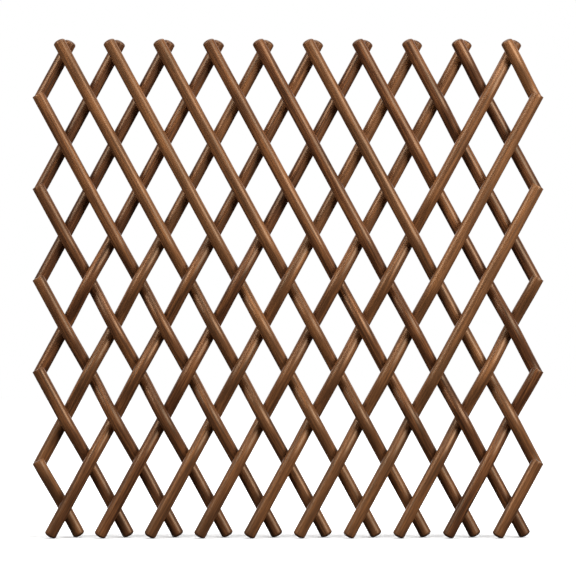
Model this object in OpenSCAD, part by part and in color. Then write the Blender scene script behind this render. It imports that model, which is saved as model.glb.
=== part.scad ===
// Woven diamond trellis panel. Two families of round wooden rods cross at a slant, pass over and
// under one another, and are nailed together at every crossing, so that the panel can fold.
// The left rods have their heads to the left and run down to the right. The right rods mirror them.
// The panel stands on its rod feet at z = 0, and its front faces -y.

/* [Rods] */
// Diameter of every rod
rod_d = 24; // [20:0.5:28]
// Bevel around each sawn rod end
end_bevel = 1.5; // [0.5:0.1:2.5]
// Amount by which the sized foot is slimmer in radius than the rod
foot_slim = 0.1; // [0.05:0.05:1]

/* [Lattice] */
// Distance along a rod from one crossing to the next
cross_step = 104; // [96:1:126]
// Lean of the rods from the upright
rod_lean = 28.5; // [24:0.5:40]
// Rod length above the top row of crossings
head_length = 20.8; // [14:0.2:40]
// Rod length below the bottom row of crossings
foot_length = 60; // [40:1:120]
// Distance from the bottom row of crossings to the sized foot
foot_start = 26; // [24:1:34]
// Length of the slope from the rod down to the sized foot
foot_shoulder = 1; // [0.5:0.1:3]
// Rod length past the crossings at the two sides of the panel
side_length = 5.4; // [4.5:0.1:12]

/* [Weave] */
// Clear space between two rods where they cross
cross_gap = 0.6; // [0.4:0.1:1.5]

/* [Nails] */
// Diameter of the nail shank
nail_d = 3; // [2:0.1:4]
// Diameter of the nail head
nail_head_d = 7; // [5:0.1:8]
// Thickness of the nail head
nail_head_t = 1.2; // [0.8:0.1:1.8]
// Length of the nail point
nail_point = 4; // [2:0.5:6]
// Wood left in front of the nail point
nail_cover = 5; // [3:0.5:7]
// Depth below the back of the rod at which the nail head is seated
seat_depth = 1.6; // [1.3:0.1:2.5]
// Radial clearance in the rod that grips the nail
grip_clear = 0.02; // [0.01:0.01:0.04]
// Radial clearance in the rod that turns on the nail
turn_clear = 0.08; // [0.05:0.01:0.1]
// Clear space under and around the nail head
head_clear = 0.1; // [0.05:0.01:0.3]

/* [Hidden] */
$fn = 48;
// Steps from the top row of crossings to the bottom row, and whole diamonds along the top row
row_steps = 10;
top_diamonds = 9;
// Rows of crossings, counted from the top, where the right rods lie in front
right_front_rows = [5, 7, 9, 10];
// Further places where a right rod lies in front: right rod, first left rod, last left rod
right_front_spans = [[9, 6, 8], [10, 6, 8], [11, 5, 8]];
// Crossing columns are half a diamond apart, from one beyond the first head to one beyond the last
last_column = 2 * top_diamonds + 1;
middle_column = top_diamonds;
left_ids = [-row_steps / 2 : top_diamonds];
right_ids = [0 : top_diamonds + row_steps / 2];
first_left = -row_steps / 2;
centre_left = (top_diamonds - row_steps / 2) / 2;
centre_right = centre_left + row_steps / 2;

rod_r = rod_d / 2;
foot_r = rod_r - foot_slim;
front = -1;
back = 1;
// Half the distance between the axes of two crossing rods
weave = (rod_d + cross_gap) / 2;
// Slope at which a rod passes from front to back. This rise and reach make its sine and cosine whole
// thousandths, so that the bent and the straight wood meet without a step.
slope_rise = 44;
slope_reach = 117;
bend_turn = atan2(slope_rise, slope_reach);
// Length of the straight wood between the two bends of a passage, and the radius of the bends
bend_run = 2 * weave / tan(bend_turn / 2) - cross_step;
bend_r = (cross_step - bend_run * cos(bend_turn)) / (2 * sin(bend_turn));
// Turn beyond the end of a bend, cut off square where the straight wood starts
bend_spare = 5;
bend_reach = bend_r + rod_d;
// Inner wood that laps the joints between straight and bent wood
core_reach = 4;
core_r = rod_r / 2;

half_pitch = cross_step * sin(rod_lean);
row_height = cross_step * cos(rod_lean);
foot_z = foot_length * cos(rod_lean) + (foot_r - end_bevel) * sin(rod_lean);

nail_r = nail_d / 2;
nail_head_r = nail_head_d / 2;
rod_back_y = weave + rod_r;
seat_y = rod_back_y - seat_depth;
nail_head_y = seat_y + head_clear;
nail_tip_y = nail_cover - rod_back_y;
// How far the drilled hole runs on past the nail point
pilot_extra = 1;
rod_color = "saddlebrown";
nail_color = "silver";

function crossing_column(left, right) = left + right;
function crossing_row(left, right) = right - left;
function crossing_at(left, right) = [
  (crossing_column(left, right) - middle_column) * half_pitch,
  0,
  foot_z + (row_steps - crossing_row(left, right)) * row_height
];

// First and last crossing partner of a rod, from its top to its bottom
function left_first(left) = max(left, -1 - left);
function left_last(left) = min(left + row_steps, last_column - left);
function right_first(right) = min(right, last_column - right);
function right_last(right) = max(right - row_steps, -1 - right);

// Whether a right rod has one of the further places where it lies in front
function in_span(left, right) = len([
  for (span = right_front_spans)
    if (right == span[0] && left >= span[1] && left <= span[2]) span
]) > 0;
function right_row(row) = len(search(row, right_front_rows)) > 0;

// At the two sides the rod that runs down from the crossing lies in front
function left_in_front(left, right) =
  crossing_column(left, right) == -1 ? true
  : crossing_column(left, right) == last_column ? false
  : !right_row(crossing_row(left, right)) && !in_span(left, right);

function left_sides(left) = [
  for (right = [left_first(left) : left_last(left)])
    left_in_front(left, right) ? front : back
];
function right_sides(right) = [
  for (left = [right_first(right) : -1 : right_last(right)])
    left_in_front(left, right) ? back : front
];

function is_centre(left, right) = left == centre_left && right == centre_right;
function left_nails(left) = [
  for (right = [left_first(left) : left_last(left)])
    if (left_in_front(left, right) && !is_centre(left, right)) crossing_at(left, right)
];
function right_nails(right) = [
  for (left = [right_first(right) : -1 : right_last(right)])
    if (!left_in_front(left, right) && !is_centre(left, right)) crossing_at(left, right)
];

// The last crossing of the straight run that starts at one crossing
function run_end(sides, i) =
  i == len(sides) - 1 || sides[i + 1] != sides[i] ? i : run_end(sides, i + 1);

function two_digits(n) = str(n < 10 ? "0" : "", n);
function left_number(left) = two_digits(left - first_left + 1);
function right_number(right) = two_digits(right + 1);
function left_rod_name(left) = str("left_rod_", left_number(left));
function right_rod_name(right) = str("right_rod_", right_number(right));
function left_nails_name(left) = str("left_nails_", left_number(left));
function right_nails_name(right) = str("right_nails_", right_number(right));

// Straight wood along x, turned to the places and radii of its outline
module turned(outline) {
  rotate([0, 90, 0])
    rotate_extrude(start = 0)
      polygon(concat(
        [[0, outline[0][0]]],
        [for (at = outline) [at[1], at[0]]],
        [[0, outline[len(outline) - 1][0]]]
      ));
}

// Inner wood that runs through a joint between two lengths of wood at x = 0
module core() {
  turned([[-core_reach, core_r], [core_reach, core_r]]);
}

// Wood of one bend around the z axis, starting at +x
module bend_wood() {
  intersection() {
    rotate_extrude(angle = bend_turn + bend_spare)
      translate([bend_r, 0])
        rotate(-90)
          circle(r = rod_r);
    rotate([0, 0, bend_turn])
      translate([0, -bend_reach, -rod_d])
        cube([bend_reach, bend_reach, 2 * rod_d]);
  }
}

// Bend that starts along x and turns to the front or the back, and what follows on from its end
module bend(to) {
  translate([0, to * bend_r, 0]) {
    rotate([0, 0, to == back ? -90 : 90 - bend_turn])
      bend_wood();
    rotate([0, 0, to * bend_turn])
      translate([0, -to * bend_r, 0])
        children();
  }
}

// Passage to the other side between two crossings, and what follows on from it
module passage(to) {
  bend(to) {
    core();
    turned([[0, rod_r], [bend_run, rod_r]]);
    translate([bend_run, 0, 0]) {
      core();
      bend(-to) {
        core();
        children();
      }
    }
  }
}

// Outlines of the rod ends past a crossing at x, as places and radii
function head_outline(head) = [
  [-head, rod_r - end_bevel],
  [end_bevel - head, rod_r]
];
function side_outline(x) = [
  [x + side_length - end_bevel, rod_r],
  [x + side_length, rod_r - end_bevel]
];
function foot_outline(x) = [
  [x + foot_start - foot_shoulder, rod_r],
  [x + foot_start, foot_r],
  [x + foot_length - end_bevel, foot_r],
  [x + foot_length, foot_r - end_bevel]
];

// Wood of a rod along x from crossing i at x = 0 to its lower end
module rod_from(sides, i, head, has_foot) {
  last = len(sides) - 1;
  end = run_end(sides, i);
  run = (end - i) * cross_step;
  start_outline = i == 0 ? head_outline(head) : [[0, rod_r]];
  end_outline = end < last ? [[run, rod_r]] : has_foot ? foot_outline(run) : side_outline(run);
  is_run = i == 0 || end > i || end == last;
  if (is_run)
    turned(concat(start_outline, end_outline));
  if (end < last)
    translate([run, 0, 0]) {
      if (is_run)
        core();
      passage(-sides[end])
        rod_from(sides, end + 1, head, has_foot);
    }
}

// Wood of a whole rod, with its first crossing at x = 0
module rod_wood(sides, head, has_foot) {
  translate([0, sides[0] * weave, 0])
    rod_from(sides, 0, head, has_foot);
}

// Blind hole that takes the nail point in the front rod
module front_hole(clear) {
  rotate([90, 0, 0])
    cylinder(h = pilot_extra - nail_tip_y, r = nail_r + clear);
}

// Through hole in the back rod, with the seat for the nail head
module back_hole() {
  rotate([-90, 0, 0]) {
    cylinder(h = rod_back_y, r = nail_r + turn_clear);
    translate([0, 0, seat_y])
      cylinder(h = seat_depth + pilot_extra, r = nail_head_r + head_clear);
  }
}

module rod(sides, head, has_foot, centre_i) {
  color(rod_color)
    difference() {
      union() rod_wood(sides, head, has_foot);
      for (i = [0 : len(sides) - 1])
        translate([i * cross_step, 0, 0])
          if (sides[i] == front)
            front_hole(i == centre_i ? turn_clear : grip_clear);
          else
            back_hole();
    }
}

module left_rod(left) {
  top = left_first(left);
  bottom = left_last(left);
  translate(crossing_at(left, top))
    rotate([0, 90 - rod_lean, 0])
      rod(
        left_sides(left),
        crossing_row(left, top) == 0 ? head_length : side_length,
        crossing_row(left, bottom) == row_steps,
        left == centre_left ? centre_right - top : undef
      );
}

module right_rod(right) {
  top = right_first(right);
  bottom = right_last(right);
  translate(crossing_at(top, right))
    rotate([0, 90 + rod_lean, 0])
      rod(
        right_sides(right),
        crossing_row(top, right) == 0 ? head_length : side_length,
        crossing_row(bottom, right) == row_steps,
        right == centre_right ? top - centre_left : undef
      );
}

// One nail along y, with its head at the back
module nail() {
  color(nail_color)
    rotate([-90, 0, 0])
      rotate_extrude()
        polygon([
          [0, nail_tip_y],
          [nail_r, nail_tip_y + nail_point],
          [nail_r, nail_head_y],
          [nail_head_r, nail_head_y],
          [nail_head_r, nail_head_y + nail_head_t],
          [0, nail_head_y + nail_head_t]
        ]);
}

module nails(places) {
  for (place = places)
    translate(place)
      nail();
}

for (left = left_ids)
  left_rod(left);
for (right = right_ids)
  right_rod(right);
for (left = left_ids)
  nails(left_nails(left));
for (right = right_ids)
  nails(right_nails(right));
nails([crossing_at(centre_left, centre_right)]);  // centre_nail
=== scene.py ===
"""Looks of the woven diamond trellis panel: stained wooden rods, wire nails, floor, light and camera."""
import logging
import math
import random
from dataclasses import dataclass, field
from enum import Enum
from typing import Any

import bpy
import numpy as np
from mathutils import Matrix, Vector


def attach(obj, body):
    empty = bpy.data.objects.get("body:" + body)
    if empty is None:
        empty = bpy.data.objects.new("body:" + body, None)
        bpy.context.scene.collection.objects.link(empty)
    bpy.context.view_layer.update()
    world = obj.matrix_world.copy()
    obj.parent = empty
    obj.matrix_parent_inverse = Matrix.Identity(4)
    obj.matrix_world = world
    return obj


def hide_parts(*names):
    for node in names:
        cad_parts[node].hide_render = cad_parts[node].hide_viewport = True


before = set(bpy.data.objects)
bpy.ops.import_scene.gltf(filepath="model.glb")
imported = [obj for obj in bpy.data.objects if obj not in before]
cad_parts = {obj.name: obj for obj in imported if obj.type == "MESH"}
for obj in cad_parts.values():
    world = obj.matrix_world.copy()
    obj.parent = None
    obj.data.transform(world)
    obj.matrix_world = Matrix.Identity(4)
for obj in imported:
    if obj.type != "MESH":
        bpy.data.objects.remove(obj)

LOG = logging.getLogger("trellis")
# The panel's sizes are in millimetres, and the scene is in metres
MM = 0.001
WHITE = "#ffffff"
# Setting of a mix node that mixes colours
COLORS = {"data_type": "RGBA"}
# The rings of a wave node at scale 1 lie a twentieth of a full turn apart
WAVE_TURN = 2 * math.pi / 20

Point = tuple[float, float, float]
Face = tuple[int, ...]
Outline = list[tuple[float, float]]
Tree = bpy.types.NodeTree
Socket = bpy.types.NodeSocket


class Side(Enum):
    """Side of the panel on which a rod lies at a crossing, as the sign of y."""

    FRONT = -1
    BACK = 1


class Stain(Enum):
    """How deep the stain has sunk into a rod, as a tone from -1, deepest, to 1, palest."""

    DEEP = -0.7
    DARK = -0.32
    EVEN = 0.0
    WARM = 0.28
    PALE = 0.65
    GOLDEN = 1.0


class Family(Enum):
    """Family of parallel rods, as the sign of x in which a rod runs down from its head."""

    LEFT = 1
    RIGHT = -1


def linear(code: str) -> tuple[float, float, float, float]:
    """Turn an sRGB hex colour into a linear one.

    Args:
        code: Six hex digits after a hash sign.

    Returns:
        Linear red, green and blue, and an alpha of one.
    """
    parts = [int(code[i:i + 2], 16) / 255 for i in (1, 3, 5)]
    red, green, blue = [p / 12.92 if p <= 0.04045 else ((p + 0.055) / 1.055) ** 2.4 for p in parts]
    return red, green, blue, 1.0


def add_node(
    tree: Tree, kind: str, settings: dict[str, Any] | None = None, **inputs: Any,
) -> bpy.types.Node:
    """Add a node with its settings, values and links.

    Args:
        tree: Node tree that takes the node.
        kind: Blender's name of the node's type.
        settings: Properties of the node itself.
        inputs: Value or linked socket of each input. The name is the socket's, with _ for a space,
            or i and the input's number.

    Returns:
        The new node.
    """
    node = tree.nodes.new(kind)
    for name, value in (settings or {}).items():
        setattr(node, name, value)
    for name, value in inputs.items():
        socket = node.inputs[int(name[1:])] if name[1:].isdigit() else node.inputs[name.replace("_", " ")]
        if isinstance(value, Socket):
            tree.links.new(value, socket)
        else:
            socket.default_value = value
    return node


def new_tree(owner: bpy.types.Material | bpy.types.World) -> Tree:
    """Give a material or world an empty node tree and return it."""
    owner.use_nodes = True
    owner.node_tree.nodes.clear()
    return owner.node_tree


def add_lathe(
    points: list[Point], faces: list[Face], place: np.ndarray, outline: Outline, around: int = 24,
) -> None:
    """Add a closed turned form along y to a mesh.

    Args:
        points: Points of the mesh, in metres, which the form's points join.
        faces: Faces of the mesh, which the form's faces join.
        place: Middle of the form, in millimetres.
        outline: Place in y and radius of each ring, in millimetres.
        around: Number of points in a ring.
    """
    base, count = len(points), len(outline)
    for y, radius in outline:
        for k in range(around):
            angle = 2 * math.pi * k / around
            spot = (place[0] + radius * math.sin(angle), place[1] + y, place[2] + radius * math.cos(angle))
            points.append(tuple(MM * v for v in spot))
    starts = [base + ring * around for ring in range(count)]
    for k in range(around):
        after = (k + 1) % around
        faces += [(a + k, a + after, b + after, b + k) for a, b in zip(starts, starts[1:])]
    faces.append(tuple(starts[0] + k for k in reversed(range(around))))
    faces.append(tuple(starts[-1] + k for k in range(around)))


@dataclass(frozen=True)
class StainedWood:
    """Walnut-stained softwood dowel, turned smooth and oiled to a satin.

    The stain sinks unevenly into early and late wood, so that the eye sees long streaks of tan and dark
    brown along each rod, slow changes of tone, short dark pores, and a soft broad sheen.
    """

    name: str = "walnut_stained_wood"
    dark: str = "#2d180c"
    middle: str = "#5d3720"
    light: str = "#8f5c36"
    golden: str = "#966a43"
    deep: str = "#3d1e11"
    sawn: str = "#2c1a11"
    # Where the dark, middle and light colours stand in the pattern, which runs from 0 to 1
    stain_stops: tuple[float, float, float] = (0.25, 0.50, 0.75)
    # How far a rod's tone moves the pattern, and the share of golden or deep at the ends of the tones
    tone_shift: float = 0.04
    golden_share: float = 0.22
    deep_share: float = 0.3
    # Streaks of early and late wood. Real ones are about 1 mm wide, and these are drawn wider to show.
    streak_width: float = 4.0
    streak_length: float = 120.0
    streak_detail: float = 3.0
    # Fibers in the streaks. Real ones are under 0.1 mm wide, and these are drawn much coarser to show.
    fiber_width: float = 1.5
    fiber_length: float = 60.0
    fiber_detail: float = 2.0
    fiber_share: float = 0.45
    # Patches in which the wood took more or less of the stain
    patch_width: float = 36.0
    patch_length: float = 150.0
    patch_detail: float = 2.0
    patch_share: float = 0.5
    # Open pores, short dark dashes. Real ones are about 0.3 mm wide, and these are drawn wider to show.
    pore_width: float = 0.9
    pore_length: float = 14.0
    pore_detail: float = 1.0
    # Where the pores start and end in their pattern, how dark they are, and how far they dip
    pore_edge: tuple[float, float] = (0.58, 0.74)
    pore_depth: float = 0.5
    pore_dip: float = -0.4
    # Growth rings on a sawn end
    ring_width: float = 1.6
    ring_wobble: float = 1.5
    ring_detail: float = 2.0
    noise_roughness: float = 0.55
    roughness: float = 0.38
    # What dark and light wood add to the roughness
    roughness_spread: tuple[float, float] = (0.10, -0.08)
    # Relief that the grain leaves in the turned surface
    relief_strength: float = 0.12
    relief_height: float = 0.15
    ior: float = 1.5
    # The oil gives a fuller gloss than bare wood, and the stain under it tints that gloss
    sheen: float = 0.85
    gleam: str = "#e2c09c"

    def build(self) -> bpy.types.Material:
        """Make the material.

        Returns:
            The material, which reads the grain, tone and sawn attributes of a rod's mesh.
        """
        material = bpy.data.materials.new(self.name)
        tree = new_tree(material)
        grain = add_node(tree, "ShaderNodeAttribute", {"attribute_name": "grain"}).outputs["Vector"]
        tone = add_node(tree, "ShaderNodeAttribute", {"attribute_name": "tone"}).outputs["Fac"]
        sawn = add_node(tree, "ShaderNodeAttribute", {"attribute_name": "sawn"}).outputs["Fac"]

        figure = self.figure(tree, grain)
        pores = self.pattern(tree, grain, self.pore_length, self.pore_width, self.pore_detail)
        low, high = self.pore_edge
        dashes = add_node(
            tree, "ShaderNodeMapRange", None,
            Value=pores, From_Min=low, From_Max=high, To_Max=self.pore_depth,
        ).outputs[0]
        stained = self.stained(tree, grain, tone, figure)
        pored = add_node(tree, "ShaderNodeMix", COLORS, i0=dashes, i6=stained, i7=linear(self.dark))
        rings = add_node(
            tree, "ShaderNodeTexWave", {"wave_type": "RINGS", "rings_direction": "X"},
            Vector=grain, Scale=WAVE_TURN / self.ring_width,
            Distortion=self.ring_wobble, Detail=self.ring_detail,
        ).outputs["Fac"]
        late, early = linear(self.sawn), linear(self.middle)
        end = add_node(tree, "ShaderNodeMix", COLORS, i0=rings, i6=late, i7=early)
        color = add_node(tree, "ShaderNodeMix", COLORS, i0=sawn, i6=pored.outputs[2], i7=end.outputs[2])

        dull, bright = [self.roughness + spread for spread in self.roughness_spread]
        rough = add_node(tree, "ShaderNodeMapRange", None, Value=figure, To_Min=dull, To_Max=bright)
        relief = add_node(
            tree, "ShaderNodeMath", {"operation": "MULTIPLY_ADD"}, i0=dashes, i1=self.pore_dip, i2=figure)
        bump = add_node(
            tree, "ShaderNodeBump", None,
            Strength=self.relief_strength, Distance=self.relief_height * MM, Height=relief.outputs[0],
        )
        shader = add_node(
            tree, "ShaderNodeBsdfPrincipled", None,
            Base_Color=color.outputs[2], Roughness=rough.outputs[0], IOR=self.ior,
            Specular_IOR_Level=self.sheen, Specular_Tint=linear(self.gleam), Normal=bump.outputs[0],
        )
        add_node(tree, "ShaderNodeOutputMaterial", None, Surface=shader.outputs[0])
        return material

    def figure(self, tree: Tree, grain: Socket) -> Socket:
        """Add the figure of the wood: its streaks, and the fibers in them.

        Args:
            tree: Node tree of the material.
            grain: Place in the rod, in millimetres, with x along the rod.

        Returns:
            The figure, from dark to light.
        """
        streaks = self.pattern(tree, grain, self.streak_length, self.streak_width, self.streak_detail)
        fibers = self.pattern(tree, grain, self.fiber_length, self.fiber_width, self.fiber_detail)
        return self.add_share(tree, streaks, fibers, self.fiber_share)

    def stained(self, tree: Tree, grain: Socket, tone: Socket, figure: Socket) -> Socket:
        """Add the colour of the stained wood.

        Args:
            tree: Node tree of the material.
            grain: Place in the rod, in millimetres, with x along the rod.
            tone: Tone of the rod, from -1 to 1.
            figure: Figure of the wood.

        Returns:
            The colour.
        """
        patches = self.pattern(tree, grain, self.patch_length, self.patch_width, self.patch_detail)
        drift = self.add_share(tree, figure, patches, self.patch_share)
        depth = add_node(
            tree, "ShaderNodeMath", {"operation": "MULTIPLY_ADD"}, i0=tone, i1=self.tone_shift, i2=drift)
        ramp = add_node(tree, "ShaderNodeValToRGB", None, Fac=depth.outputs[0])
        stops = ramp.color_ramp.elements
        stops[0].position, stops[1].position = self.stain_stops[0], self.stain_stops[2]
        stops[0].color, stops[1].color = linear(self.dark), linear(self.light)
        stops.new(self.stain_stops[1]).color = linear(self.middle)
        color = ramp.outputs[0]
        tints = ((1.0, self.golden_share, self.golden), (-1.0, self.deep_share, self.deep))
        for most, share, tint in tints:
            amount = add_node(tree, "ShaderNodeMapRange", None, Value=tone, From_Max=most, To_Max=share)
            mixed = add_node(tree, "ShaderNodeMix", COLORS, i0=amount.outputs[0], i6=color, i7=linear(tint))
            color = mixed.outputs[2]
        return color

    def add_share(self, tree: Tree, main: Socket, extra: Socket, share: float) -> Socket:
        """Add a share of one pattern to another, so that the middle of both stays at one half.

        Args:
            tree: Node tree of the material.
            main: Pattern that is added to.
            extra: Pattern that is added.
            share: How much of it is added.

        Returns:
            The sum.
        """
        swing = add_node(
            tree, "ShaderNodeMath", {"operation": "MULTIPLY_ADD"}, i0=extra, i1=share, i2=-share / 2)
        total = add_node(tree, "ShaderNodeMath", {"operation": "ADD"}, i0=main, i1=swing.outputs[0])
        return total.outputs[0]

    def pattern(self, tree: Tree, grain: Socket, length: float, width: float, detail: float) -> Socket:
        """Add an uneven pattern that is stretched along the grain.

        Args:
            tree: Node tree of the material.
            grain: Place in the rod, in millimetres, with x along the rod.
            length: Size of the pattern along the grain.
            width: Size of the pattern across the grain.
            detail: Detail of the pattern.

        Returns:
            The pattern, from 0 to 1.
        """
        sizes = (1 / length, 1 / width, 1 / width)
        scaled = add_node(tree, "ShaderNodeVectorMath", {"operation": "MULTIPLY"}, i0=grain, i1=sizes)
        noise = add_node(
            tree, "ShaderNodeTexNoise", None,
            Vector=scaled.outputs[0], Scale=1.0, Detail=detail, Roughness=self.noise_roughness,
        )
        return noise.outputs["Fac"]


@dataclass(frozen=True)
class ZincSteel:
    """Zinc-plated steel wire nail, with its head upset in a die.

    The plating gives the eye a pale grey with fine scratches and a broad dull glint.
    """

    name: str = "zinc_plated_steel"
    bright: str = "#c3c4c2"
    dull: str = "#8d8f8f"
    # Size of the marks from die and plating. Real ones are finer, and these are coarser so that they show
    # in a near view.
    scratch: float = 0.6
    scratch_detail: float = 3.0
    roughness: float = 0.34
    # What dull and bright marks add to the roughness
    roughness_spread: tuple[float, float] = (0.12, -0.08)
    relief_strength: float = 0.2
    relief_height: float = 0.05

    def build(self) -> bpy.types.Material:
        """Make the material.

        Returns:
            The material.
        """
        material = bpy.data.materials.new(self.name)
        tree = new_tree(material)
        place = add_node(tree, "ShaderNodeTexCoord").outputs["Object"]
        size = 1 / (self.scratch * MM)
        scaled = add_node(tree, "ShaderNodeVectorMath", {"operation": "SCALE"}, i0=place, Scale=size)
        marks = add_node(
            tree, "ShaderNodeTexNoise", None,
            Vector=scaled.outputs[0], Scale=1.0, Detail=self.scratch_detail,
        ).outputs["Fac"]
        worn, clean = linear(self.dull), linear(self.bright)
        color = add_node(tree, "ShaderNodeMix", COLORS, i0=marks, i6=worn, i7=clean)
        dull, bright = [self.roughness + spread for spread in self.roughness_spread]
        rough = add_node(tree, "ShaderNodeMapRange", None, Value=marks, To_Min=dull, To_Max=bright)
        bump = add_node(
            tree, "ShaderNodeBump", None,
            Strength=self.relief_strength, Distance=self.relief_height * MM, Height=marks,
        )
        shader = add_node(
            tree, "ShaderNodeBsdfPrincipled", None,
            Base_Color=color.outputs[2], Metallic=1.0, Roughness=rough.outputs[0], Normal=bump.outputs[0],
        )
        add_node(tree, "ShaderNodeOutputMaterial", None, Surface=shader.outputs[0])
        return material


@dataclass(frozen=True)
class MattPaper:
    """Matt white backdrop paper of the studio floor.

    It gives the eye plain white, with the panel's soft shadow near its feet. Sizes are in metres.
    """

    name: str = "matt_white_paper"
    # Colour that sends light back to the panel, and the colour that the camera sees
    bounce: str = "#4a4a4a"
    seen: str = "#f2f2f2"
    # Share of white that the paper gives by itself near the panel, and where it grows to all of it
    lift: float = 0.2
    shadow_reach: tuple[float, float] = (0.03, 0.19)
    # What a length along the panel counts for there, as the panel is much longer than it is deep
    shadow_stretch: float = 0.06

    def build(self) -> bpy.types.Material:
        """Make the material.

        Returns:
            The material, for a floor whose middle is under the panel.
        """
        material = bpy.data.materials.new(self.name)
        tree = new_tree(material)
        ray = add_node(tree, "ShaderNodeLightPath").outputs["Is Camera Ray"]
        tint = add_node(tree, "ShaderNodeMix", COLORS, i0=ray, i6=linear(self.bounce), i7=linear(self.seen))
        place = add_node(tree, "ShaderNodeTexCoord").outputs["Object"]
        stretch = (self.shadow_stretch, 1.0, 1.0)
        drawn = add_node(tree, "ShaderNodeVectorMath", {"operation": "MULTIPLY"}, i0=place, i1=stretch)
        reach = add_node(tree, "ShaderNodeVectorMath", {"operation": "LENGTH"}, i0=drawn.outputs[0])
        near, far = self.shadow_reach
        lift = add_node(
            tree, "ShaderNodeMapRange", {"interpolation_type": "SMOOTHSTEP"},
            Value=reach.outputs["Value"], From_Min=near, From_Max=far, To_Min=self.lift, To_Max=1.0,
        )
        level = add_node(tree, "ShaderNodeMath", {"operation": "MULTIPLY"}, i0=ray, i1=lift.outputs[0])
        matt = add_node(tree, "ShaderNodeBsdfDiffuse", None, Color=tint.outputs[2])
        glow = add_node(tree, "ShaderNodeEmission", None, Color=linear(WHITE), Strength=level.outputs[0])
        shade = add_node(tree, "ShaderNodeAddShader", None, i0=matt.outputs[0], i1=glow.outputs[0])
        add_node(tree, "ShaderNodeOutputMaterial", None, Surface=shade.outputs[0])
        return material


@dataclass(frozen=True)
class Lattice:
    """Sizes of the lattice, as its solids have them, and the order in which the rods pass over and under."""

    rod_d: float = 24.0
    end_bevel: float = 1.5
    foot_slim: float = 0.1
    cross_step: float = 104.0
    rod_lean: float = math.radians(28.5)
    head_length: float = 20.8
    foot_length: float = 60.0
    foot_start: float = 26.0
    cross_gap: float = 0.6
    row_steps: int = 10
    top_diamonds: int = 9
    # Column of the crossings at the left side
    first_column: int = -1
    # Rows in which the right rods lie in front, and right rods that do so from one left rod to another
    right_front_rows: tuple[int, ...] = (5, 7, 9, 10)
    right_front_spans: tuple[tuple[int, int, int], ...] = ((9, 6, 8), (10, 6, 8), (11, 5, 8))
    # Steepest lean of a rod on its way from one side to the other, from the exact ratio that the solids use
    slope: float = math.atan2(44, 117)
    nail_d: float = 3.0
    nail_head_d: float = 7.0
    nail_head_t: float = 1.2
    nail_point: float = 4.0
    nail_cover: float = 5.0
    seat_depth: float = 1.6
    grip_clear: float = 0.02
    turn_clear: float = 0.08
    head_clear: float = 0.1
    pilot_extra: float = 1.0

    @property
    def rod_r(self) -> float:
        """Radius of a rod."""
        return self.rod_d / 2

    @property
    def weave(self) -> float:
        """Half the distance between the axes of two crossing rods."""
        return (self.rod_d + self.cross_gap) / 2

    @property
    def last_column(self) -> int:
        """Column of the crossings at the right side."""
        return 2 * self.top_diamonds + 1

    @property
    def bend_run(self) -> float:
        """Length of the straight wood between the two bends of a passage."""
        return 2 * self.weave / math.tan(self.slope / 2) - self.cross_step

    @property
    def bend_r(self) -> float:
        """Radius of the bends."""
        return (self.cross_step - self.bend_run * math.cos(self.slope)) / (2 * math.sin(self.slope))

    @property
    def rod_back(self) -> float:
        """Distance from the middle of the panel to the back of the rear rods."""
        return self.weave + self.rod_r

    @property
    def seat_y(self) -> float:
        """Place of the floor of the nail seats."""
        return self.rod_back - self.seat_depth

    @property
    def nail_tip(self) -> float:
        """Place of the nail points."""
        return self.nail_cover - self.rod_back

    def crossing(self, left: int, right: int) -> np.ndarray:
        """Place of a crossing.

        Args:
            left: Number of the left rod, from -row_steps / 2.
            right: Number of the right rod, from 0.

        Returns:
            The place in the middle of the panel, in millimetres.
        """
        rise, reach = math.cos(self.rod_lean), math.sin(self.rod_lean)
        foot_r = self.rod_r - self.foot_slim
        low = self.foot_length * rise + (foot_r - self.end_bevel) * reach
        rows_up = self.row_steps - (right - left)
        x = (left + right - self.top_diamonds) * self.cross_step * reach
        return np.array([x, 0.0, low + rows_up * self.cross_step * rise])

    def left_in_front(self, left: int, right: int) -> bool:
        """Tell which rod lies in front at a crossing.

        Args:
            left: Number of the left rod.
            right: Number of the right rod.

        Returns:
            True where the left rod lies in front.
        """
        column, row = left + right, right - left
        if column in (self.first_column, self.last_column):
            return column == self.first_column
        spans = any(right == rod and first <= left <= last for rod, first, last in self.right_front_spans)
        return row not in self.right_front_rows and not spans

    def partners(self, family: Family, number: int) -> list[int]:
        """List the rods that cross one rod.

        Args:
            family: Family of the rod.
            number: Number of the rod.

        Returns:
            Numbers of the other family, from the rod's head down.
        """
        steps, start, end = self.row_steps, self.first_column, self.last_column
        if family is Family.LEFT:
            return list(range(max(number, start - number), min(number + steps, end - number) + 1))
        return list(range(min(number, end - number), max(number - steps, start - number) - 1, -1))


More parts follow.
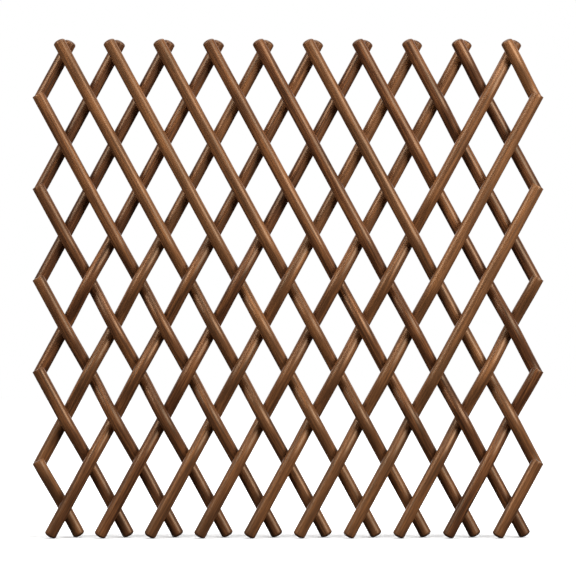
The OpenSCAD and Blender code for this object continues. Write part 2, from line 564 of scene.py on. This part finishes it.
@dataclass
class Rod:
    """One woven rod: its bends, its rounded ends, its nail holes and its grain."""

    lattice: Lattice
    family: Family
    number: int
    label: str
    stain: Stain = Stain.EVEN
    sides_around: int = 40
    ring_step: float = 6.5
    # Most that the outline leaves the round, sizes of its waves along the rod, and the share of each wave
    sway: float = 0.1
    sway_sizes: tuple[float, float] = (48.0, 21.0)
    sway_shares: tuple[float, float, float] = (0.5, 0.3, 0.2)
    # Share by which a rod is wider in the plane of the panel than it is deep, as drying wood is
    oval: float = 0.03
    # Bulge of a sanded head or foot, what a head stands out more than a foot, and the bulge of a side end
    end_dome: float = 5.8
    head_proud: float = 2.4
    side_dome: float = 1.0
    # Power of the curve that an end is sanded to: 2 is an ellipse, and more is squarer
    end_square: float = 2.1
    # Places of an end's rings on that curve, in degrees from its middle
    end_turns: tuple[int, ...] = (9, 20, 32, 44, 55, 65, 74, 82, 90)
    # Share of the dome up to which a head or foot shows no side grain
    sawn_reach: float = 1.15
    # Room in which the grain of one rod is moved along and off the pith, and what its tone may differ
    grain_room: float = 4000.0
    pith_room: float = 30.0
    tone_spread: float = 0.08
    sharp_angle: float = math.radians(40)
    crossings: list[tuple[int, int]] = field(init=False)
    sides: list[Side] = field(init=False)

    def __post_init__(self) -> None:
        """Work out the rod's crossings and the side on which it lies at each."""
        left = self.family is Family.LEFT
        others = self.lattice.partners(self.family, self.number)
        self.crossings = [(self.number, other) if left else (other, self.number) for other in others]
        fronts = [self.lattice.left_in_front(*crossing) is left for crossing in self.crossings]
        self.sides = [Side.FRONT if front else Side.BACK for front in fronts]

    @property
    def node(self) -> str:
        """Name of the rod's node in the frame."""
        return f"{self.family.name.lower()}_rod_{self.label}"

    @property
    def body(self) -> str:
        """Name of the body that carries the rod."""
        return f"{self.family.name.lower()}_{self.label}"

    @property
    def has_head(self) -> bool:
        """Whether the rod reaches the top edge of the panel."""
        left, right = self.crossings[0]
        return left == right

    @property
    def has_foot(self) -> bool:
        """Whether the rod reaches the bottom edge of the panel."""
        left, right = self.crossings[-1]
        return right - left == self.lattice.row_steps

    @property
    def end_proud(self) -> float:
        """Work out how far the middle of a sanded end stands out, so that a foot still meets the floor.

        Returns:
            The length beyond the square end of the solid.
        """
        lat = self.lattice
        radius = lat.rod_r - lat.foot_slim
        rise, reach = math.cos(lat.rod_lean), math.sin(lat.rod_lean)
        rings = self.end_rings(radius, self.end_dome)
        lowest = max(r * (1 + self.oval) * reach - back * rise for back, r in rings)
        return ((radius - lat.end_bevel) * reach - lowest) / rise

    @property
    def side_reach(self) -> float:
        """Rod length past a side crossing at which the outer edges of two rods meet in one corner."""
        return self.lattice.rod_r * (1 + self.oval) * math.tan(self.lattice.rod_lean)

    @property
    def span(self) -> tuple[float, float]:
        """Work out where the rod ends.

        Returns:
            Places of the two ends along the axis, from the first crossing.
        """
        lat = self.lattice
        head = lat.head_length + self.end_proud + self.head_proud if self.has_head else self.side_reach
        tail = lat.foot_length + self.end_proud if self.has_foot else self.side_reach
        return -head, (len(self.crossings) - 1) * lat.cross_step + tail

    def depth(self, along: float) -> tuple[float, float]:
        """Follow the weave.

        Args:
            along: Place along the axis, from the first crossing.

        Returns:
            The place of the rod's middle in y, and its slope as an angle.
        """
        lat = self.lattice
        last = len(self.sides) - 1
        i = min(max(math.floor(along / lat.cross_step), 0), last)
        here = self.sides[i].value
        if along <= 0 or i == last or self.sides[i + 1] is self.sides[i]:
            return here * lat.weave, 0.0
        step = along - i * lat.cross_step
        near = min(step, lat.cross_step - step)
        reach = lat.bend_r * math.sin(lat.slope)
        if near <= reach:
            angle = math.asin(near / lat.bend_r)
            drop = lat.bend_r * (1 - math.cos(angle))
        else:
            angle = lat.slope
            drop = lat.bend_r * (1 - math.cos(angle)) + (near - reach) * math.tan(angle)
        sign = here if step <= lat.cross_step / 2 else -here
        return sign * (lat.weave - drop), -here * angle

    def axes(self) -> tuple[np.ndarray, np.ndarray, np.ndarray]:
        """Work out how the rod stands in the panel.

        Returns:
            Place of the first crossing, direction of the axis, and the direction across it in the panel.
        """
        lean, sign = self.lattice.rod_lean, self.family.value
        run = np.array([sign * math.sin(lean), 0.0, -math.cos(lean)])
        across = np.array([math.cos(lean), 0.0, sign * math.sin(lean)])
        return self.lattice.crossing(*self.crossings[0]), run, across

    def profile(self) -> Outline:
        """List the rings of the rod.

        Returns:
            Place along the axis and radius of each ring, from the middle of one end to that of the other.
        """
        lat = self.lattice
        first, last = self.span
        foot_r = lat.rod_r - lat.foot_slim if self.has_foot else lat.rod_r
        head = self.end_rings(lat.rod_r, self.end_dome if self.has_head else self.side_dome)
        tail = self.end_rings(foot_r, self.end_dome if self.has_foot else self.side_dome)
        rings = [(first + back, radius) for back, radius in head]
        start, stop = first + head[-1][0], last - tail[-1][0]
        count = max(1, round((stop - start) / self.ring_step))
        marks = [start + (stop - start) * k / count for k in range(1, count)]
        shoulder = (len(self.crossings) - 1) * lat.cross_step + lat.foot_start
        rings += [(mark, foot_r if mark > shoulder else lat.rod_r) for mark in marks]
        return rings + [(last - back, radius) for back, radius in reversed(tail)]

    def end_rings(self, radius: float, dome: float) -> Outline:
        """List the rings of a sanded end.

        Args:
            radius: Radius of the rod at that end.
            dome: How far the end bulges.

        Returns:
            Distance back from the end's middle and radius of each ring, from the middle outwards.
        """
        power = 2 / self.end_square
        turns = [math.radians(a) for a in self.end_turns]
        return [(dome * (1 - abs(math.cos(a)) ** power), radius * math.sin(a) ** power) for a in turns]

    def shape(self) -> bpy.types.Mesh:
        """Build the rod's wood without its nail holes.

        Returns:
            The mesh, in metres.
        """
        origin, run, across = self.axes()
        chance = random.Random(self.node)
        phases = [chance.uniform(0, 2 * math.pi) for _ in range(3)]
        turn = np.linspace(0, 2 * math.pi, self.sides_around, endpoint=False)
        (slow, quick), shares = self.sway_sizes, self.sway_shares
        places: list[np.ndarray] = []
        rings = self.profile()
        for along, radius in rings:
            y, slope = self.depth(along)
            out = np.array([0.0, math.cos(slope), 0.0]) - run * math.sin(slope)
            middle = origin + run * along + np.array([0.0, y, 0.0])
            wave = np.sin(along / slow + phases[0]) * shares[0]
            wave = wave + np.sin(along / quick + phases[1] + turn) * shares[1]
            wave = self.sway * (wave + np.sin(2 * turn + phases[2]) * shares[2])
            reach = radius + wave * min(1.0, radius / self.lattice.rod_r)
            ring = middle + np.outer(reach * np.cos(turn), out)
            places.append(ring + np.outer(reach * (1 + self.oval) * np.sin(turn), across))
        ends = [origin + run * a + np.array([0.0, self.depth(a)[0], 0.0]) for a in self.span]
        points = np.vstack([*places, *[e[None, :] for e in ends]]) * MM
        starts = [self.sides_around * ring for ring in range(len(rings))]
        top, bottom = len(points) - 2, len(points) - 1
        faces: list[Face] = []
        for k in range(self.sides_around):
            after = (k + 1) % self.sides_around
            faces.append((top, after, k))
            faces.append((bottom, starts[-1] + k, starts[-1] + after))
            faces += [(a + k, a + after, b + after, b + k) for a, b in zip(starts, starts[1:])]
        mesh = bpy.data.meshes.new(f"{self.node}_wood")
        mesh.from_pydata(points.tolist(), [], faces)
        mesh.validate()
        return mesh

    def drills(self) -> bpy.types.Mesh:
        """Build the nail holes and head seats that are cut from the rod.

        Returns:
            The mesh of one drill form for each crossing.
        """
        lat = self.lattice
        points: list[Point] = []
        faces: list[Face] = []
        for crossing, side in zip(self.crossings, self.sides):
            if side is Side.FRONT:
                hole = lat.nail_d / 2 + lat.grip_clear
                outline = [(lat.nail_tip - lat.pilot_extra, hole), (lat.cross_gap, hole)]
            else:
                hole, seat = lat.nail_d / 2 + lat.turn_clear, lat.nail_head_d / 2 + lat.head_clear
                outline = [(-lat.cross_gap, hole), (lat.seat_y, hole)]
                outline += [(lat.seat_y, seat), (lat.rod_back + lat.pilot_extra, seat)]
            add_lathe(points, faces, lat.crossing(*crossing), outline)
        mesh = bpy.data.meshes.new(f"{self.node}_drills")
        mesh.from_pydata(points, [], faces)
        return mesh

    def grain(self, mesh: bpy.types.Mesh) -> None:
        """Write the grain, tone and sawn attributes that the wood finish reads.

        Args:
            mesh: Mesh of the finished rod.
        """
        origin, run, across = self.axes()
        chance = random.Random(self.node + "_stain")
        shift = chance.uniform(0, self.grain_room)
        pith = [chance.uniform(-self.pith_room, self.pith_room) for _ in range(2)]
        tone = self.stain.value + chance.uniform(-self.tone_spread, self.tone_spread)
        points = np.empty(len(mesh.vertices) * 3)
        mesh.vertices.foreach_get("co", points)
        offset = points.reshape(-1, 3) / MM - origin
        along = offset @ run
        deep = offset[:, 1] - np.array([self.depth(a)[0] for a in along])
        place = np.stack([along + shift, deep + pith[0], offset @ across + pith[1]], axis=1)
        first, last = self.span
        sawn = np.zeros(len(along))
        for back, free in ((along - first, self.has_head), (last - along, self.has_foot)):
            most, dome = (self.sawn_reach, self.end_dome) if free else (1.0, self.side_dome)
            sawn = np.maximum(sawn, np.clip(most - back / dome, 0.0, 1.0))
        mesh.attributes.new("grain", "FLOAT_VECTOR", "POINT").data.foreach_set("vector", place.ravel())
        mesh.attributes.new("tone", "FLOAT", "POINT").data.foreach_set("value", np.full(len(along), tone))
        mesh.attributes.new("sawn", "FLOAT", "POINT").data.foreach_set("value", sawn)

    def build(self, wood: bpy.types.Material) -> bpy.types.Object:
        """Build and dress the rod.

        Args:
            wood: Finish of the rod.

        Returns:
            The rod's object, riding on its body.
        """
        rod = bpy.data.objects.new(f"{self.node}_wood", self.shape())
        drills = bpy.data.objects.new(f"{self.node}_drills", self.drills())
        for part in (rod, drills):
            bpy.context.collection.objects.link(part)
        cut = rod.modifiers.new("nail_holes", "BOOLEAN")
        cut.operation, cut.solver, cut.object = "DIFFERENCE", "EXACT", drills
        whole = rod.data
        rod.data = bpy.data.meshes.new_from_object(rod.evaluated_get(bpy.context.evaluated_depsgraph_get()))
        rod.modifiers.clear()
        bpy.data.meshes.remove(whole)
        # The drills' object goes with its mesh
        bpy.data.meshes.remove(drills.data)
        rod.data.name = rod.name
        rod.data.materials.clear()
        rod.data.materials.append(wood)
        rod.data.shade_smooth()
        rod.data.set_sharp_from_angle(angle=self.sharp_angle)
        self.grain(rod.data)
        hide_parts(self.node)
        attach(rod, self.body)
        return rod


@dataclass
class Nails:
    """The nails that grip one front rod, or the nail in the middle of the panel."""

    lattice: Lattice
    node: str
    body: str
    crossings: list[tuple[int, int]]
    tip_r: float = 0.15
    edge: float = 0.3
    dome: float = 0.25
    # Rings of the head's dome, as shares of the dome's height and of the head's radius
    dome_rings: tuple[tuple[float, float], ...] = ((0.6, 0.6), (1.0, 0.2))
    sharp_angle: float = math.radians(35)

    def outline(self) -> Outline:
        """Draw a nail from its point to the dome of its head.

        Returns:
            Place in y and radius of each ring.
        """
        lat = self.lattice
        shank, head = lat.nail_d / 2, lat.nail_head_d / 2
        under = lat.seat_y + lat.head_clear
        top = under + lat.nail_head_t
        return [
            (lat.nail_tip, self.tip_r), (lat.nail_tip + lat.nail_point, shank), (under, shank),
            (under, head - self.edge), (under + self.edge, head),
            (top - self.edge, head), (top, head - self.edge),
            *[(top + rise * self.dome, head * share) for rise, share in self.dome_rings],
        ]

    def build(self, steel: bpy.types.Material) -> bpy.types.Object:
        """Build and dress the nails.

        Args:
            steel: Finish of the nails.

        Returns:
            The nails' object, riding on its body.
        """
        points: list[Point] = []
        faces: list[Face] = []
        for crossing in self.crossings:
            add_lathe(points, faces, self.lattice.crossing(*crossing), self.outline())
        mesh = bpy.data.meshes.new(f"{self.node}_steel")
        mesh.from_pydata(points, [], faces)
        mesh.materials.append(steel)
        mesh.shade_smooth()
        mesh.set_sharp_from_angle(angle=self.sharp_angle)
        nails = bpy.data.objects.new(f"{self.node}_steel", mesh)
        bpy.context.collection.objects.link(nails)
        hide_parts(self.node)
        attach(nails, self.body)
        return nails


@dataclass
class Panel:
    """The whole woven panel."""

    lattice: Lattice = field(default_factory=Lattice)
    # Rods whose stain is plainly deeper or paler than their neighbours'. This is partly painted light: some
    # rods, most of them on the right side, are set paler than their stain so that they look more strongly
    # lit.
    stains_and_painted_light: dict[Stain, tuple[str, ...]] = field(default_factory=lambda: {
        Stain.DEEP: ("left_14", "right_02", "right_03"),
        Stain.DARK: ("left_12",),
        Stain.WARM: ("left_02", "left_03", "left_04", "left_05", "left_09", "right_06"),
        Stain.PALE: (
            "left_06", "left_08", "left_11",
            "right_05", "right_08", "right_09", "right_10", "right_13", "right_15",
        ),
        Stain.GOLDEN: ("left_01", "left_07", "left_15", "right_11", "right_12"),
    })
    wood: StainedWood = field(default_factory=StainedWood)
    steel: ZincSteel = field(default_factory=ZincSteel)

    def rods(self) -> list[Rod]:
        """List the rods of both families.

        Returns:
            The left rods and then the right rods, each with its stain, which on some rods is set paler as
            painted light.
        """
        lat = self.lattice
        half, diamonds = lat.row_steps // 2, lat.top_diamonds
        lefts = [Rod(lat, Family.LEFT, n, f"{n + half + 1:02d}") for n in range(-half, diamonds + 1)]
        rights = [Rod(lat, Family.RIGHT, n, f"{n + 1:02d}") for n in range(diamonds + half + 1)]
        tones = {body: stain for stain, bodies in self.stains_and_painted_light.items() for body in bodies}
        for rod in lefts + rights:
            rod.stain = tones.get(rod.body, Stain.EVEN)
        return lefts + rights

    def nails(self, rods: list[Rod]) -> list[Nails]:
        """Group the nails by the rod that grips them.

        Args:
            rods: All rods of the panel.

        Returns:
            The groups, and the middle nail as the last one.
        """
        half = self.lattice.row_steps // 2
        middle = (self.lattice.top_diamonds - half) // 2
        centre = (middle, middle + half)
        groups: list[Nails] = []
        for rod in rods:
            held = [c for c, side in zip(rod.crossings, rod.sides) if side is Side.FRONT and c != centre]
            if held:
                groups.append(Nails(self.lattice, rod.node.replace("_rod_", "_nails_"), rod.body, held))
        return groups + [Nails(self.lattice, "centre_nail", "centre_nail", [centre])]

    def build(self) -> None:
        """Build and dress every rod and nail."""
        wood, steel = self.wood.build(), self.steel.build()
        rods = self.rods()
        for piece in [*rods, *self.nails(rods)]:
            made = piece.build(wood if isinstance(piece, Rod) else steel)
            LOG.info("%s: %d faces on %s", made.name, len(made.data.polygons), piece.body)


@dataclass(frozen=True)
class Lamp:
    """A soft lamp, with its place, size and aim in metres and its power in watts."""

    name: str
    place: Point
    size: tuple[float, float]
    power: float
    aim: Point = (0.0, 0.0, 0.5)

    def build(self) -> None:
        """Put the lamp in its place and turn it to what it lights."""
        data = bpy.data.lights.new(self.name, "AREA")
        data.shape, data.energy = "RECTANGLE", self.power
        data.size, data.size_y = self.size
        lamp = bpy.data.objects.new(self.name, data)
        bpy.context.collection.objects.link(lamp)
        lamp.location = self.place
        away = lamp.location - Vector(self.aim)
        lamp.rotation_euler = away.to_track_quat("Z", "Y").to_euler()
        LOG.info("%s: %g W", self.name, self.power)


@dataclass
class Studio:
    """Floor, soft lamps, white surroundings and the camera, with sizes in metres."""

    view_height: float = 0.4995
    view_distance: float = 5.7
    frame_width: float = 1.152
    # Width of the camera's sensor, in millimetres
    sensor_width: float = 36.0
    floor_size: float = 14.0
    floor_z: float = -0.0003
    paper: MattPaper = field(default_factory=MattPaper)
    # Light of the room in front of the panel and of the white wall behind it, and where the wall fades
    fill: float = 0.015
    wall_light: float = 1.1
    wall_edge: tuple[float, float] = (0.35, 0.85)
    # The room in front as gloss shows it
    room: float = 0.05
    lamps: tuple[Lamp, ...] = (
        Lamp("right_lamp", (2.4, -2.15, 1.7), (1.9, 1.75), 114),
        Lamp("left_lamp", (-2.45, -1.7, 2.15), (1.75, 1.6), 61),
        Lamp("top_lamp", (0.0, 0.7, 2.6), (1.6, 1.2), 15),
        Lamp("head_lamp", (0.1, -0.75, 2.2), (1.8, 0.6), 19, aim=(0.0, 0.0, 0.95)),
    )

    def floor(self) -> None:
        """Lay the paper floor, which shows white and keeps the panel's shadow."""
        half = self.floor_size / 2
        mesh = bpy.data.meshes.new("paper_floor")
        corners = [(half * x, half * y, self.floor_z) for x, y in ((-1, -1), (1, -1), (1, 1), (-1, 1))]
        mesh.from_pydata(corners, [], [(0, 1, 2, 3)])
        mesh.materials.append(self.paper.build())
        floor = bpy.data.objects.new("paper_floor", mesh)
        bpy.context.collection.objects.link(floor)

    def surroundings(self) -> None:
        """Make the world: white to the eye, with a lit wall behind the panel and a dim room in front."""
        world = bpy.data.worlds.new("white_studio")
        bpy.context.scene.world = world
        tree = new_tree(world)
        path = add_node(tree, "ShaderNodeLightPath").outputs
        place = add_node(tree, "ShaderNodeTexCoord").outputs["Generated"]
        depth = add_node(tree, "ShaderNodeSeparateXYZ", None, Vector=place).outputs["Y"]
        start, full = self.wall_edge
        wall = add_node(
            tree, "ShaderNodeMapRange", {"interpolation_type": "SMOOTHSTEP"},
            Value=depth, From_Min=start, From_Max=full,
        ).outputs[0]
        mirrored = add_node(tree, "ShaderNodeMapRange", None, Value=wall, To_Min=self.room, To_Max=1.0)
        gloss = add_node(
            tree, "ShaderNodeMath", {"operation": "MULTIPLY"},
            i0=path["Is Glossy Ray"], i1=mirrored.outputs[0],
        )
        seen = path["Is Camera Ray"]
        for other in (gloss.outputs[0], path["Is Transmission Ray"]):
            seen = add_node(tree, "ShaderNodeMath", {"operation": "MAXIMUM"}, i0=seen, i1=other).outputs[0]
        light = add_node(
            tree, "ShaderNodeMapRange", None, Value=wall, To_Min=self.fill, To_Max=self.wall_light)
        level = add_node(tree, "ShaderNodeMapRange", None, Value=seen, To_Min=light.outputs[0], To_Max=1.0)
        back = add_node(tree, "ShaderNodeBackground", None, Color=linear(WHITE), Strength=level.outputs[0])
        add_node(tree, "ShaderNodeOutputWorld", None, Surface=back.outputs[0])

    def camera(self) -> None:
        """Place the camera level with the middle of the picture, with the photograph's frame width across
        the panel.
        """
        data = bpy.data.cameras.new("camera")
        data.sensor_fit, data.sensor_width = "HORIZONTAL", self.sensor_width
        data.lens = data.sensor_width * self.view_distance / self.frame_width
        camera = bpy.data.objects.new("camera", data)
        bpy.context.collection.objects.link(camera)
        camera.location = (0.0, -self.view_distance, self.view_height)
        camera.rotation_euler = (math.pi / 2, 0.0, 0.0)
        bpy.context.scene.camera = camera

    def build(self) -> None:
        """Build the whole studio."""
        bpy.context.scene.view_settings.view_transform = "Standard"
        self.floor()
        self.surroundings()
        self.camera()
        for lamp in self.lamps:
            lamp.build()


def main() -> None:
    """Build the panel and its studio."""
    logging.basicConfig(level=logging.INFO, format="%(name)s: %(message)s")
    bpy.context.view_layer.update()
    Panel().build()
    Studio().build()
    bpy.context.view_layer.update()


if __name__ == "__main__":
    main()
